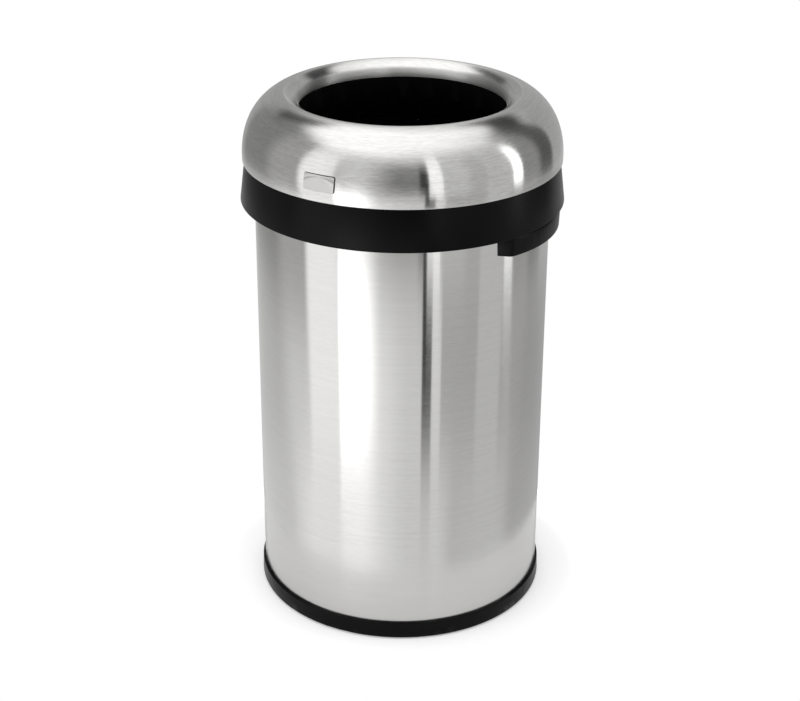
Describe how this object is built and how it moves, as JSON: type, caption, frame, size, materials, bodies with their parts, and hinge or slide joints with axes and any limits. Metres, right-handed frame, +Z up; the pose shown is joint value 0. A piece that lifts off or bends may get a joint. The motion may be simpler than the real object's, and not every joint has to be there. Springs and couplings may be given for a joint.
{
  "type": "open-top trash can",
  "caption": "Tall round steel trash can with a black band and base ring and a domed, rear-hinged lid that has an open round mouth.",
  "frame": {"origin": "middle of the can's footprint, on the floor", "axes": "+Z up; the front, with the badge plate, faces -Y; the grips are at +X and -X and the hinge at +Y"},
  "size_m": [0.482, 0.482, 0.8021],
  "materials": {
    "brushed_sheet": "brushed",
    "black_moulding": "fine grain, matte",
    "plain_steel": "satin",
    "dark_steel": "black coated",
    "black_rubber": "matte",
    "white_nylon": "smooth"
  },
  "bodies": {
    "can": {"body_shell": "brushed_sheet", "bottom_pan": "plain_steel", "base_ring": "black_moulding", "floor_pads": "black_rubber", "pan_nuts": "plain_steel", "base_screws": "plain_steel", "body_collar": "black_moulding", "grip_right": "black_moulding", "grip_left": "black_moulding", "grip_screws": "plain_steel", "hinge_bracket": "black_moulding", "bracket_screws": "plain_steel", "hinge_pin": "plain_steel", "pin_clip": "plain_steel", "hinge_washers": "white_nylon"},
    "lid": {"lid_band": "black_moulding", "dome_shell": "brushed_sheet", "lid_liner": "black_moulding", "lid_screws": "plain_steel", "hinge_leaf": "dark_steel", "leaf_screws": "plain_steel", "lid_bumpers": "black_rubber", "badge_plate": "brushed_sheet", "badge_pad": "black_rubber"}
  },
  "joints": [
    {"name": "lid_hinge", "type": "hinge", "parent": "can", "child": "lid", "pos_m": [0, 0.2306, 0.628], "axis": [-1, 0, 0], "range_deg": [0, 95]}
  ]
}
